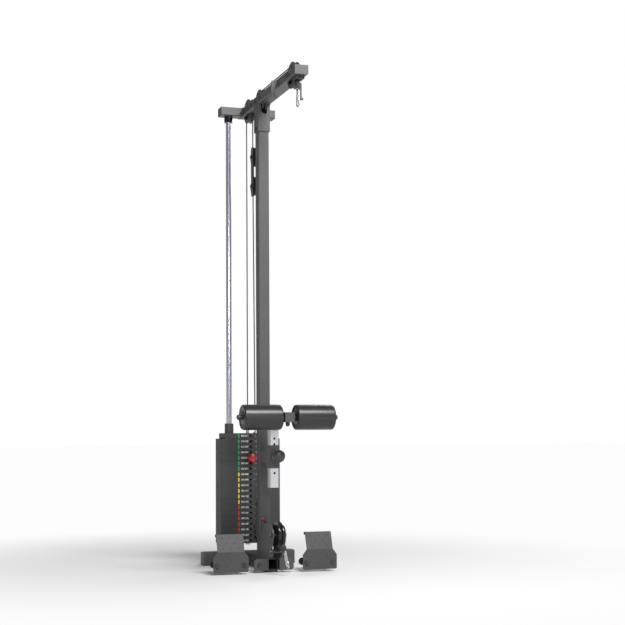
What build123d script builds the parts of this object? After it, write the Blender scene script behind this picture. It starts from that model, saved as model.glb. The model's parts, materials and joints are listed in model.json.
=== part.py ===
"""Lat pulldown and low row machine with a pin-loaded weight stack.

A square tower carries a long top arm with three pulleys.  One cable runs from the lat
hook over the arm, down to a floating double pulley, back up and down to the stack.  A
second cable runs from the low hook under the tower, up over the floating pulley and
down to an anchor, so both hooks lift the same stack.

Millimetres.  X is to the user's right, Y points away from the user, Z is up.  The origin
is on the floor, below the centre line of the weight stack.
"""
from build123d import *
import os
from math import asin, cos, pi, radians, sin, sqrt, tan

os.makedirs("parts", exist_ok=True)

# ---- overall sizes -----------------------------------------------------------------
arm_bottom_z = 2096         # underside of the top arm
stack_to_tower = 240        # stack centre line to tower axis
lat_reach = 450             # tower axis to the front pulley's axle
crossbeam_length = 430      # the foot beam under the stack

# ---- tubes -------------------------------------------------------------------------
tower_size = 50
tower_wall = 3
tube_corner = 4
arm_width = 60
arm_height = 40
arm_wall = 3
arm_corner = 5
arm_nose = 95               # arm ahead of the front pulley's axle
foot_beam_size = 60
foot_beam_wall = 3
base_tube_z = 8             # underside of the base tube
base_tube_front = 124       # open end, ahead of the tower axis
top_beam_length = 260
top_beam_depth = 60
cap_thickness = 3

# ---- tower head --------------------------------------------------------------------
sleeve_wall = 4.5
sleeve_clearance = 0.5
sleeve_height = 124
pulley_slot_width = 28
rim_clearance = 5           # pulley rim to the end of its slot
slot_depth_below_arm = 43
tower_top_gap = 46          # tower top below the arm, clear of the middle pulley

# ---- cables and pulleys ------------------------------------------------------------
cable_d = 5.5
big_rim_r = 57
big_cable_r = 49
small_rim_r = 45
small_cable_r = 41
pulley_width = 22
axle_r = 5
running_gap = 0.05          # bearing bore to axle
bearing_r = 13
bearing_width = 12
block_below_arm = 219       # upper axle of the floating pulleys
block_axle_pitch = 137
block_bar_width = 33
block_bar_overhang = 48     # bar beyond each axle
bar_thickness = 5
side_gap = 1.5              # pulley face to cheek
low_pulley_reach = 200      # tower axis to the low pulley's axle
low_pulley_z = 165
base_run_y = 125            # rear run of the low cable, ahead of the stack centre
anchor_z = 285
anchor_gap = 20             # anchor bolt behind the tower's rear face

# ---- weight stack ------------------------------------------------------------------
plate_count = 20
lifted_count = 5            # the pin is under this many plates, head plate included
plate_width = 285
head_plate_width = 252
plate_depth = 96
plate_thickness = 25.2
plate_corner = 5
bumper_height = 38
bumper_r = 25
rod_r = 12.5
rod_half_pitch = 90
rod_clearance = 1.0
pin_hole_r = 5.25
pin_r = 4.75
selector_r = 11
selector_neck_r = 8
selector_clearance = 1.0
selector_below = 10
selector_above = 58
bush_r = 20.5
bush_height = 45
collar_r = 20
collar_height = 30
grub_r = 3

# ---- selector pin ------------------------------------------------------------------
knob_r = 19
knob_length = 34
knob_standoff = 5
knob_collar = 8
knob_round = 6
pin_past_rod = 18
lanyard_d = 3

# ---- leg holder --------------------------------------------------------------------
post_size = 40
post_wall = 2.5
post_reach = 140            # tower axis to post axis
post_bottom_z = 366
leg_sleeve_wall = 3.5
leg_sleeve_clearance = 0.5
leg_sleeve_height = 100
leg_sleeve_z = 500          # middle of the leg sleeve
leg_pin_z = 504             # the pull pin, a little above it
leg_bracket_width = 40
leg_bracket_height = 60
post_hole_pitch = 25
post_hole_r = 5
post_holes_below = 3
post_holes_above = 3
leg_arm_size = 42
roller_z = 670
roller_reach = 341          # tower axis to the rollers' shaft
leg_arm_nose = 32           # leg arm ahead of the shaft
roller_r = 54
roller_length = 170
roller_inner_x = 32
shaft_r = 10
end_knob_r = 11
end_knob_length = 20
end_knob_round = 5
shaft_collar_r = 16
roller_round = 4
roller_end_gap = 2

# ---- foot plates and flange --------------------------------------------------------
flange_reach = 148          # tower axis to the flange's front face
flange_outer_x = 90
flange_bottom_z = 10
flange_top_z = 60
flange_bolt_x = 65
flange_bolt_z = 33
cheek_thickness = 5
foot_plate_reach = 175
foot_plate_x = 202
foot_plate_width = 157
foot_plate_neck = 120
foot_plate_z = 10
foot_shoulder_z = 74
foot_bend_z = 97
foot_top_z = 170
foot_lean = 24
foot_plate_thickness = 4
foot_corner = 8
foot_fold = 10              # top edge folded back and down
foot_fold_drop = 12
foot_bolt_pitch = 120
foot_bolt_z = 40
rack_stud_r = 6
rack_stud_length = 76       # behind the plate
nut_standoff = 60           # plate to nut: the rack's rail goes between them
nut_flange_r = 16
nut_flange = 4
nut_r = 11
nut_height = 12
neck_extra = 0.6            # neck of a stud over its shank, in radius

# ---- places worked out from the sizes ------------------------------------------------
tower_y = -stack_to_tower
tower_front = tower_y - tower_size / 2
tower_rear = tower_y + tower_size / 2
pulley_z = arm_bottom_z + arm_height / 2
rear_pulley_y = -big_cable_r
block_y = rear_pulley_y - big_cable_r - small_cable_r
mid_pulley_y = block_y - small_cable_r - big_cable_r
front_pulley_y = tower_y - lat_reach
lat_cable_y = front_pulley_y - big_cable_r
arm_front = front_pulley_y - arm_nose
arm_rear = top_beam_depth / 2
block_upper_z = arm_bottom_z - block_below_arm
block_lower_z = block_upper_z - block_axle_pitch
base_tube_top = base_tube_z + tower_size
low_pulley_y = tower_y - low_pulley_reach
low_cable_z = low_pulley_z - big_cable_r
base_pulley_y = -base_run_y - small_cable_r
base_pulley_z = low_cable_z + small_cable_r
anchor_y = tower_rear + anchor_gap
stack_bottom = foot_beam_size + bumper_height
stack_top = stack_bottom + plate_count * plate_thickness
pin_row_z = stack_top - (lifted_count - 0.5) * plate_thickness
stack_front = -plate_depth / 2
rod_tip_z = stack_top + selector_above
post_y = tower_y - post_reach
roller_y = tower_y - roller_reach
leg_arm_bottom = roller_z - leg_arm_size / 2
cheek_inner_x = pulley_width / 2 + side_gap
fastener_head = 6
spacer_start = bearing_width / 2 + 0.3


# ---- helpers ---------------------------------------------------------------------------
def tube_profile(width, depth, wall, corner=tube_corner):
    """Hollow section with rounded corners, about the sketch's origin."""
    RectangleRounded(width, depth, corner)
    inner = max(corner - wall, 0.6)
    RectangleRounded(width - 2 * wall, depth - 2 * wall, inner, mode=Mode.SUBTRACT)


def save(builder, name):
    """Label one finished piece and write its STEP file."""
    builder.part.label = name
    export_step(builder.part, f"parts/{name}.step")


def across(x, y, z):
    """Plane whose normal is +X, for things that lie on a side to side axis."""
    return Plane(origin=(x, y, z), x_dir=(0, 1, 0), z_dir=(1, 0, 0))


def ahead(x, y, z):
    """Plane whose normal is -Y, for things that face the user."""
    return Plane(origin=(x, y, z), x_dir=(1, 0, 0), z_dir=(0, -1, 0))


def cross_bolt(y, z, half_grip, shank_r):
    """Hex bolt along X: head on the left, nut on the right, a washer under each."""
    washer = 1.5
    with BuildPart() as bolt:
        with BuildSketch(across(-half_grip, y, z)):
            Circle(shank_r)
        extrude(amount=2 * half_grip)
        for side in (-1, 1):
            with BuildSketch(across(side * half_grip, y, z)):
                Circle(shank_r * 2.1)
            extrude(amount=side * washer)
            with BuildSketch(across(side * (half_grip + washer), y, z)):
                RegularPolygon(shank_r * 1.75, 6)
            extrude(amount=side * fastener_head)
    return bolt.part


def button_bolt(x, y, z, plate, stud_length, shank_r):
    """Round-headed bolt along Y: head to the user, neck in the plate, stud and nut behind it."""
    with BuildPart() as bolt:
        with BuildSketch(ahead(x, y, z)):
            Circle(shank_r * 1.8)
        extrude(amount=fastener_head, taper=18)
        with BuildSketch(ahead(x, y - fastener_head, z)):
            RegularPolygon(shank_r * 0.7, 6)
        extrude(amount=-fastener_head / 2, mode=Mode.SUBTRACT)
        with BuildSketch(ahead(x, y, z)):
            Circle(shank_r + neck_extra)
        extrude(amount=-plate)
        with BuildSketch(ahead(x, y + plate, z)):
            Circle(shank_r)
        extrude(amount=-stud_length)
        with BuildSketch(ahead(x, y + plate + nut_standoff, z)):
            Circle(nut_flange_r)
        extrude(amount=-nut_flange)
        with BuildSketch(ahead(x, y + plate + nut_standoff, z)):
            RegularPolygon(nut_r, 6)
        extrude(amount=-nut_height)
    return bolt.part


def rod(start, end, radius):
    """Round bar between two points."""
    run = Vector(*end) - Vector(*start)
    with BuildPart() as bar:
        with BuildSketch(Plane(origin=start, z_dir=run)):
            Circle(radius)
        extrude(amount=run.length)
    return bar.part


def spacer_pair(y, z, start, end):
    """Two sleeves along X that centre a bearing on its axle."""
    with BuildPart() as pair:
        for side in (-1, 1):
            with BuildSketch(across(side * start, y, z)):
                Circle(axle_r + 3)
            extrude(amount=side * (end - start))
    return pair.part


def make_pulley(name, y, z, rim_r, cable_r):
    """Grooved sheave on a bearing, turning about X."""
    spin = Axis((0, y, z), (1, 0, 0))
    flank = pulley_width / 2 - 3
    groove_r = cable_d / 2 + 0.4
    recess = 4
    with BuildPart() as wheel:
        with BuildSketch(Plane(origin=(0, y, z), x_dir=(1, 0, 0), z_dir=(0, 0, 1))):
            with Locations((0, (rim_r + bearing_r) / 2)):
                Rectangle(pulley_width, rim_r - bearing_r)
            with Locations((0, cable_r)):
                Circle(groove_r, mode=Mode.SUBTRACT)
            with BuildLine():
                Polyline(
                    (-groove_r, cable_r),
                    (groove_r, cable_r),
                    (flank, rim_r + 1),
                    (-flank, rim_r + 1),
                    close=True,
                )
            make_face(mode=Mode.SUBTRACT)
            for side in (-1, 1):
                with Locations((side * pulley_width / 2, (cable_r + bearing_r) / 2)):
                    Rectangle(2 * recess, cable_r - bearing_r - 20, mode=Mode.SUBTRACT)
        revolve(axis=spin)
    with BuildPart() as bearing:
        with BuildSketch(across(-bearing_width / 2, y, z)):
            Circle(bearing_r)
            Circle(axle_r + running_gap, mode=Mode.SUBTRACT)
        extrude(amount=bearing_width)
    both = Compound([wheel.part.solid(), bearing.part.solid()])
    both.label = name
    export_step(both, f"parts/{name}.step")


# ---- base ------------------------------------------------------------------------------
with BuildPart() as base_tube:
    with BuildSketch(ahead(0, -foot_beam_size / 2, base_tube_z + tower_size / 2)):
        tube_profile(tower_size, tower_size, tower_wall)
    extrude(amount=stack_to_tower + base_tube_front - foot_beam_size / 2)
save(base_tube, "base_tube")

with BuildPart() as rear_crossbeam:
    with BuildSketch(across(-crossbeam_length / 2, 0, foot_beam_size / 2)):
        tube_profile(foot_beam_size, foot_beam_size, foot_beam_wall)
    extrude(amount=crossbeam_length)
save(rear_crossbeam, "rear_crossbeam")

pad_length = 60
pad_corner = 6
with BuildPart() as front_foot_pad:
    with BuildSketch(Plane.XY):
        with Locations((0, tower_y - base_tube_front + pad_length / 2)):
            RectangleRounded(tower_size, pad_length, pad_corner)
    extrude(amount=base_tube_z)
save(front_foot_pad, "front_foot_pad")

# ---- tower and its head --------------------------------------------------------------------
tower_top_z = arm_bottom_z - tower_top_gap
cable_slot_height = 30
cable_slot_width = 16
with BuildPart() as tower:
    with BuildSketch(Plane(origin=(0, tower_y, base_tube_top))):
        tube_profile(tower_size, tower_size, tower_wall)
    extrude(amount=tower_top_z - base_tube_top)
    with BuildSketch(ahead(0, tower_rear + 1, low_cable_z)):
        SlotOverall(cable_slot_height, cable_slot_width, rotation=90)
    extrude(amount=tower_size + 2, mode=Mode.SUBTRACT)
save(tower, "tower")

sleeve_size = tower_size + 2 * (sleeve_wall + sleeve_clearance)
sleeve_bottom = arm_bottom_z - sleeve_height
slot_corner = 6
with BuildPart() as tower_sleeve:
    with BuildSketch(Plane(origin=(0, tower_y, sleeve_bottom))):
        tube_profile(sleeve_size, sleeve_size, sleeve_wall)
    extrude(amount=sleeve_height)
    with BuildSketch(ahead(0, tower_y + sleeve_size / 2 + 1, arm_bottom_z)):
        RectangleRounded(pulley_slot_width, 2 * slot_depth_below_arm, slot_corner)
    extrude(amount=sleeve_size + 2, mode=Mode.SUBTRACT)
save(tower_sleeve, "tower_sleeve")

# ---- top arm and beam --------------------------------------------------------------------------
keeper_gap = 10
keeper_r = 4
keeper_rear_gap = 6
keeper_ys = (mid_pulley_y - big_rim_r - keeper_gap,
             mid_pulley_y + big_rim_r + keeper_rear_gap,
             rear_pulley_y - big_rim_r - keeper_gap + 3)
arm_slot_length = 2 * (big_rim_r + rim_clearance)
with BuildPart() as top_arm:
    with BuildSketch(ahead(0, arm_rear, pulley_z)):
        tube_profile(arm_width, arm_height, arm_wall, arm_corner)
    extrude(amount=arm_rear - arm_front)
    for y in (front_pulley_y, mid_pulley_y, rear_pulley_y):
        with BuildSketch(Plane(origin=(0, y, arm_bottom_z - 1))):
            SlotOverall(arm_slot_length, pulley_slot_width, rotation=90)
        extrude(amount=arm_height + 2, mode=Mode.SUBTRACT)
        with BuildSketch(across(-arm_width, y, pulley_z)):
            Circle(axle_r)
        extrude(amount=2 * arm_width, mode=Mode.SUBTRACT)
    for y in keeper_ys:
        with BuildSketch(across(-arm_width, y, pulley_z)):
            Circle(keeper_r)
        extrude(amount=2 * arm_width, mode=Mode.SUBTRACT)
save(top_arm, "top_arm")

stub_length = (top_beam_length - arm_width) / 2
with BuildPart() as top_crossbeam:
    for side in (-1, 1):
        with BuildSketch(across(side * arm_width / 2, 0, pulley_z)):
            tube_profile(top_beam_depth, arm_height, arm_wall, arm_corner)
        extrude(amount=side * stub_length)
save(top_crossbeam, "top_crossbeam")

with BuildPart() as tube_end_caps:
    for side in (-1, 1):
        with BuildSketch(across(side * crossbeam_length / 2, 0, foot_beam_size / 2)):
            RectangleRounded(foot_beam_size, foot_beam_size, tube_corner)
        extrude(amount=side * cap_thickness)
        with BuildSketch(across(side * top_beam_length / 2, 0, pulley_z)):
            RectangleRounded(top_beam_depth, arm_height, arm_corner)
        extrude(amount=side * cap_thickness)
    with BuildSketch(ahead(0, arm_front, pulley_z)):
        RectangleRounded(arm_width, arm_height, arm_corner)
    extrude(amount=cap_thickness)
    with BuildSketch(ahead(0, arm_rear, pulley_z)):
        RectangleRounded(arm_width, arm_height, arm_corner)
    extrude(amount=-cap_thickness)
save(tube_end_caps, "tube_end_caps")

# ---- straps that clamp the arm to the rack's rear beam -------------------------------------------
strap_y = tower_y - 312
strap_places = {-1: 48, 1: 74}      # middle of the left and of the right strap
strap_width = 17
strap_thickness = 6
strap_drop = 38
strap_rise = 31
strap_corner = 6
strap_hole_r = 4
tie_height = 17             # flat bar from the arm's side to the strap
strap_foot_width = 28
strap_foot_depth = 22
strap_foot_height = 6
clamp_hole_shift = 8
clamp_hole_set_back = 6.5
clamp_hole_r = 2.3
with BuildPart() as rack_clamp_straps:
    for side, strap_x in strap_places.items():
        with BuildSketch(ahead(0, strap_y + strap_thickness / 2, arm_bottom_z)):
            with Locations((side * strap_x, (strap_rise - strap_drop) / 2)):
                RectangleRounded(strap_width, strap_rise + strap_drop, strap_corner)
            with Locations((side * (strap_x + arm_width / 2) / 2, tie_height)):
                Rectangle(strap_x - arm_width / 2, tie_height)
            with Locations((side * strap_x, strap_rise - 10)):
                Circle(strap_hole_r, mode=Mode.SUBTRACT)
        extrude(amount=strap_thickness)
        with BuildSketch(Plane(origin=(0, strap_y, arm_bottom_z - strap_drop - strap_foot_height))):
            with Locations((side * strap_x, 0)):
                RectangleRounded(strap_foot_width, strap_foot_depth, strap_corner - 2)
            for shift in (-clamp_hole_shift, clamp_hole_shift):
                with Locations((side * strap_x + shift, -clamp_hole_set_back)):
                    Circle(clamp_hole_r, mode=Mode.SUBTRACT)
        extrude(amount=strap_foot_height + 0.5)
save(rack_clamp_straps, "rack_clamp_straps")

# ---- bolts ---------------------------------------------------------------------------------------
sleeve_bolt_z = sleeve_bottom + 13
sleeve_bolt_r = 9
bolt_grip = arm_width / 2
with BuildPart() as frame_bolts:
    for y in keeper_ys:
        add(cross_bolt(y, pulley_z, bolt_grip, keeper_r))
    for side in (-1, 1):
        with BuildSketch(across(side * sleeve_size / 2, tower_y, sleeve_bolt_z)):
            RegularPolygon(sleeve_bolt_r, 6)
        extrude(amount=side * fastener_head)
        add(button_bolt(side * flange_bolt_x, tower_y - flange_reach, flange_bolt_z,
                        cheek_thickness, rack_stud_length, rack_stud_r))
        for shift in (-foot_bolt_pitch / 2, foot_bolt_pitch / 2):
            add(button_bolt(side * foot_plate_x + shift, tower_y - foot_plate_reach, foot_bolt_z,
                            foot_plate_thickness, rack_stud_length, rack_stud_r))
save(frame_bolts, "frame_bolts")

with BuildPart() as top_axle_bolts:
    for y in (front_pulley_y, mid_pulley_y, rear_pulley_y):
        add(cross_bolt(y, pulley_z, bolt_grip, axle_r))
        add(spacer_pair(y, pulley_z, spacer_start, arm_width / 2 - arm_wall))
save(top_axle_bolts, "top_axle_bolts")

# ---- guide rods, collars and bumpers -------------------------------------------------------------
rod_spots = [(-rod_half_pitch, 0), (rod_half_pitch, 0)]
with BuildPart() as guide_rods:
    with BuildSketch(Plane.XY.offset(foot_beam_size)):
        with Locations(*rod_spots):
            Circle(rod_r)
    extrude(amount=arm_bottom_z - foot_beam_size)
save(guide_rods, "guide_rods")

with BuildPart() as rod_collars:
    with BuildSketch(Plane.XY.offset(arm_bottom_z - collar_height)):
        with Locations(*rod_spots):
            Circle(collar_r)
            Circle(rod_r, mode=Mode.SUBTRACT)
    extrude(amount=collar_height)
    chamfer(edges().filter_by(GeomType.CIRCLE).group_by(Axis.Z)[0].filter_by(
        lambda e: e.radius > rod_r + 1), length=1.5)
    for x, y in rod_spots:
        with BuildSketch(ahead(x, y - rod_r - 2, arm_bottom_z - collar_height / 2)):
            Circle(grub_r)
        extrude(amount=collar_r, mode=Mode.SUBTRACT)
save(rod_collars, "rod_collars")

with BuildPart() as rod_bumpers:
    with BuildSketch(Plane.XY.offset(foot_beam_size)):
        with Locations(*rod_spots):
            Circle(bumper_r)
            Circle(rod_r, mode=Mode.SUBTRACT)
    extrude(amount=bumper_height)
    fillet(edges().filter_by(GeomType.CIRCLE).group_by(Axis.Z)[-1].filter_by(
        lambda e: e.radius > rod_r + 1), radius=4)
save(rod_bumpers, "rod_bumpers")


# ---- weight plates -------------------------------------------------------------------------------
def add_plate(row, width):
    """One plate of the stack; row 1 is the head plate on top."""
    bottom = stack_top - row * plate_thickness
    edge = 0.8
    with BuildPart(mode=Mode.PRIVATE) as plate:
        with BuildSketch(Plane.XY.offset(bottom)):
            RectangleRounded(width, plate_depth, plate_corner)
            with Locations(*rod_spots):
                Circle(rod_r + rod_clearance, mode=Mode.SUBTRACT)
            Circle(selector_r + selector_clearance, mode=Mode.SUBTRACT)
        extrude(amount=plate_thickness)
        outer = plate.faces().filter_by(Axis.Z)
        rims = [f.outer_wire().edges() for f in outer]
        chamfer(rims[0] + rims[1], length=edge)
        with BuildSketch(ahead(0, pin_past_rod + 4, bottom + plate_thickness / 2)):
            Circle(pin_hole_r)
        extrude(amount=plate_depth, mode=Mode.SUBTRACT)
    return plate.part.solid()


def save_plates(name, rows):
    """Write a group of plates, one solid each."""
    group = Compound([add_plate(row, plate_width) for row in rows])
    group.label = name
    export_step(group, f"parts/{name}.step")


save_plates("weight_plates_lifted", range(2, lifted_count + 1))
save_plates("weight_plates_resting", range(lifted_count + 1, plate_count + 1))

head_plate = add_plate(1, head_plate_width)
head_plate.label = "head_plate"
export_step(head_plate, "parts/head_plate.step")

with BuildPart() as head_plate_bushes:
    with BuildSketch(Plane.XY.offset(stack_top)):
        with Locations(*rod_spots):
            Circle(bush_r)
            Circle(rod_r + 0.4, mode=Mode.SUBTRACT)
    extrude(amount=bush_height)
    chamfer(edges().filter_by(GeomType.CIRCLE).group_by(Axis.Z)[-1].filter_by(
        lambda e: e.radius > rod_r + 1), length=2)
save(head_plate_bushes, "head_plate_bushes")

selector_bottom = stack_bottom - selector_below
with BuildPart() as selector_rod:
    with BuildSketch(Plane.XY.offset(selector_bottom)):
        Circle(selector_r)
    extrude(amount=stack_top - selector_bottom)
    with BuildSketch(Plane.XY.offset(stack_top)):
        Circle(selector_neck_r)
    extrude(amount=selector_above)
    for row in range(1, plate_count + 1):
        row_z = stack_top - (row - 0.5) * plate_thickness
        with BuildSketch(ahead(0, selector_r + 1, row_z)):
            Circle(pin_hole_r)
        extrude(amount=2 * selector_r + 2, mode=Mode.SUBTRACT)
save(selector_rod, "selector_rod")

fitting_length = 52
fitting_nut_r = 11
fitting_nut_height = 14
fitting_barrel_r = 6.5
with BuildPart() as stack_cable_fitting:
    with BuildSketch(Plane.XY.offset(rod_tip_z)):
        RegularPolygon(fitting_nut_r, 6)
    extrude(amount=fitting_nut_height)
    with BuildSketch(Plane.XY.offset(rod_tip_z + fitting_nut_height)):
        Circle(fitting_barrel_r)
    extrude(amount=fitting_length - fitting_nut_height, taper=3)
save(stack_cable_fitting, "stack_cable_fitting")
fitting_top_z = rod_tip_z + fitting_length

# ---- selector pin --------------------------------------------------------------------------------
knob_back = stack_front - knob_standoff
with BuildPart() as selector_pin:
    add(rod((0, knob_back, pin_row_z), (0, pin_past_rod, pin_row_z), pin_r))
save(selector_pin, "selector_pin")

with BuildPart() as selector_knob:
    with BuildSketch(ahead(0, knob_back, pin_row_z)):
        Circle(knob_r * 0.62)
    extrude(amount=knob_collar)
    with BuildSketch(ahead(0, knob_back - knob_collar, pin_row_z)):
        Circle(knob_r)
    extrude(amount=knob_length - knob_collar)
    fillet(edges().filter_by(GeomType.CIRCLE).group_by(Axis.Y)[0], radius=knob_round)
save(selector_knob, "selector_knob")

# ---- floating double pulley ----------------------------------------------------------------------
block_middle = (block_upper_z + block_lower_z) / 2
block_bar_length = block_axle_pitch + 2 * block_bar_overhang
with BuildPart() as block_cheeks:
    for side in (-1, 1):
        with BuildSketch(across(side * cheek_inner_x, block_y, block_middle)):
            SlotOverall(block_bar_length, block_bar_width, rotation=90)
            for z in (-block_axle_pitch / 2, block_axle_pitch / 2):
                with Locations((0, z)):
                    Circle(axle_r, mode=Mode.SUBTRACT)
        extrude(amount=side * bar_thickness)
save(block_cheeks, "block_cheeks")

with BuildPart() as block_axles:
    for z in (block_lower_z, block_upper_z):
        add(cross_bolt(block_y, z, cheek_inner_x + bar_thickness, axle_r))
        add(spacer_pair(block_y, z, spacer_start, cheek_inner_x))
save(block_axles, "block_axles")

# ---- pulleys -------------------------------------------------------------------------------------
make_pulley("front_pulley", front_pulley_y, pulley_z, big_rim_r, big_cable_r)
make_pulley("mid_pulley", mid_pulley_y, pulley_z, big_rim_r, big_cable_r)
make_pulley("rear_pulley", rear_pulley_y, pulley_z, big_rim_r, big_cable_r)
make_pulley("low_pulley", low_pulley_y, low_pulley_z, big_rim_r, big_cable_r)
make_pulley("base_pulley", base_pulley_y, base_pulley_z, small_rim_r, small_cable_r)
make_pulley("block_upper_pulley", block_y, block_upper_z, small_rim_r, small_cable_r)
make_pulley("block_lower_pulley", block_y, block_lower_z, small_rim_r, small_cable_r)

# ---- low pulley bracket: two bent plates that end in the rack flange -----------------------------
cheek_rear = tower_y - 60
cheek_front = low_pulley_y - 26
cheek_top = low_pulley_z + 41
flange_chamfer = 8
keeper_drop = 22            # bolt under the cable, so that it stays in the groove
cheek_x = tower_size / 2
flange_y = tower_y - flange_reach
with BuildPart() as low_pulley_cheeks:
    for side in (-1, 1):
        with BuildSketch(across(side * cheek_x, 0, 0)):
            with BuildLine():
                start = (cheek_rear, flange_bottom_z)
                rear_top = (cheek_rear, low_pulley_z - 20)
                crown_rear = (cheek_rear - 50, cheek_top)
                crown_front = (low_pulley_y + 16, cheek_top)
                nose = (cheek_front, low_pulley_z)
                toe = (flange_y, flange_top_z)
                toe_bottom = (flange_y, flange_bottom_z)
                Line(start, rear_top)
                TangentArc(rear_top, crown_rear, tangent=(0, 1))
                Line(crown_rear, crown_front)
                TangentArc(crown_front, nose, tangent=(-1, 0))
                ThreePointArc(nose, ((cheek_front + flange_y) / 2 - 7, 99), toe)
                Line(toe, toe_bottom)
                Line(toe_bottom, start)
            make_face()
            for z in (low_pulley_z, low_cable_z - keeper_drop):
                with Locations((low_pulley_y, z)):
                    Circle(axle_r, mode=Mode.SUBTRACT)
        extrude(amount=side * cheek_thickness)
        with BuildSketch(ahead(0, flange_y + cheek_thickness, 0)):
            flange_middle = (cheek_x + flange_outer_x) / 2
            with Locations((side * flange_middle, (flange_bottom_z + flange_top_z) / 2)):
                Rectangle(flange_outer_x - cheek_x, flange_top_z - flange_bottom_z)
            chamfer(vertices().group_by(Axis.X)[-1 if side > 0 else 0], length=flange_chamfer)
            with Locations((side * flange_bolt_x, flange_bolt_z)):
                Circle(rack_stud_r + neck_extra, mode=Mode.SUBTRACT)
        extrude(amount=cheek_thickness)
save(low_pulley_cheeks, "low_pulley_cheeks")

bracket_nose_r = 14
with BuildPart() as base_pulley_cheeks:
    for side in (-1, 1):
        with BuildSketch(across(side * cheek_inner_x, 0, 0)):
            with BuildLine():
                foot = (tower_rear, base_pulley_z - bracket_nose_r - 8)
                nose = (base_pulley_y, base_pulley_z - bracket_nose_r)
                nose_mid = (base_pulley_y + bracket_nose_r, base_pulley_z)
                nose_top = (base_pulley_y, base_pulley_z + bracket_nose_r)
                brow = (anchor_y + bracket_nose_r, anchor_z)
                brow_top = (anchor_y, anchor_z + bracket_nose_r)
                wall_top = (tower_rear, anchor_z + bracket_nose_r)
                Line(foot, nose)
                ThreePointArc(nose, nose_mid, nose_top)
                Line(nose_top, brow)
                TangentArc(brow, brow_top, tangent=(0, 1))
                Line(brow_top, wall_top)
                Line(wall_top, foot)
            make_face()
            for spot in ((base_pulley_y, base_pulley_z), (anchor_y, anchor_z)):
                with Locations(spot):
                    Circle(axle_r, mode=Mode.SUBTRACT)
        extrude(amount=side * bar_thickness)
save(base_pulley_cheeks, "base_pulley_cheeks")

with BuildPart() as lower_pulley_bolts:
    add(cross_bolt(low_pulley_y, low_pulley_z, cheek_x + cheek_thickness, axle_r))
    add(cross_bolt(low_pulley_y, low_cable_z - keeper_drop, cheek_x + cheek_thickness, axle_r))
    add(cross_bolt(base_pulley_y, base_pulley_z, cheek_inner_x + bar_thickness, axle_r))
    add(cross_bolt(anchor_y, anchor_z, cheek_inner_x + bar_thickness, axle_r))
    add(spacer_pair(low_pulley_y, low_pulley_z, spacer_start, cheek_x))
    add(spacer_pair(base_pulley_y, base_pulley_z, spacer_start, cheek_inner_x))
save(lower_pulley_bolts, "lower_pulley_bolts")

# ---- leg holder ----------------------------------------------------------------------------------
leg_sleeve_size = post_size + 2 * (leg_sleeve_wall + leg_sleeve_clearance)
leg_sleeve_bottom = leg_sleeve_z - leg_sleeve_height / 2
pin_bore_r = 8.4
with BuildPart() as leg_sleeve:
    with BuildSketch(Plane(origin=(0, post_y, leg_sleeve_bottom))):
        tube_profile(leg_sleeve_size, leg_sleeve_size, leg_sleeve_wall)
    extrude(amount=leg_sleeve_height)
    with BuildSketch(ahead(0, tower_front, leg_sleeve_z)):
        tube_profile(leg_bracket_width, leg_bracket_height, tower_wall)
    extrude(amount=tower_front - post_y - leg_sleeve_size / 2)
    with BuildSketch(ahead(0, post_y, leg_pin_z)):
        Circle(pin_bore_r)
    extrude(amount=leg_sleeve_size, mode=Mode.SUBTRACT)
save(leg_sleeve, "leg_sleeve")

with BuildPart() as leg_post:
    with BuildSketch(Plane(origin=(0, post_y, post_bottom_z))):
        tube_profile(post_size, post_size, post_wall)
    extrude(amount=leg_arm_bottom - post_bottom_z)
    for step in range(-post_holes_below, post_holes_above + 1):
        with BuildSketch(ahead(0, post_y, leg_pin_z + step * post_hole_pitch)):
            Circle(post_hole_r)
        extrude(amount=post_size, mode=Mode.SUBTRACT)
save(leg_post, "leg_post")

leg_arm_rear = post_y + leg_arm_size / 2
leg_arm_front = roller_y - leg_arm_nose
with BuildPart() as leg_arm:
    with BuildSketch(ahead(0, leg_arm_rear, roller_z)):
        tube_profile(leg_arm_size, leg_arm_size, tower_wall)
    extrude(amount=leg_arm_rear - leg_arm_front)
    for y in (leg_arm_rear, leg_arm_front + cap_thickness):
        with BuildSketch(ahead(0, y, roller_z)):
            RectangleRounded(leg_arm_size, leg_arm_size, tube_corner)
        extrude(amount=cap_thickness)
    with BuildSketch(across(-leg_arm_size, roller_y, roller_z)):
        Circle(shaft_r)
    extrude(amount=2 * leg_arm_size, mode=Mode.SUBTRACT)
save(leg_arm, "leg_arm")

shaft_end_x = roller_inner_x + roller_length + roller_end_gap
with BuildPart() as roller_shaft:
    add(rod((-shaft_end_x, roller_y, roller_z), (shaft_end_x, roller_y, roller_z), shaft_r))
    for side in (-1, 1):
        add(rod((side * shaft_end_x, roller_y, roller_z),
                (side * (shaft_end_x + end_knob_length), roller_y, roller_z), end_knob_r))
        add(rod((side * (leg_arm_size / 2 + 0.2), roller_y, roller_z),
                (side * (roller_inner_x - roller_end_gap / 2), roller_y, roller_z), shaft_collar_r))
    for end in (0, -1):
        fillet(edges().filter_by(GeomType.CIRCLE).group_by(Axis.X)[end], radius=end_knob_round)
save(roller_shaft, "roller_shaft")

clamp_knob_r = 9
clamp_knob_height = 18
clamp_knob_round = 8.5
with BuildPart() as shaft_clamp_knob:
    with BuildSketch(Plane(origin=(0, roller_y, leg_arm_bottom))):
        Circle(clamp_knob_r)
    extrude(amount=-clamp_knob_height)
    fillet(edges().filter_by(GeomType.CIRCLE).group_by(Axis.Z)[0], radius=clamp_knob_round)
save(shaft_clamp_knob, "shaft_clamp_knob")

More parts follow.
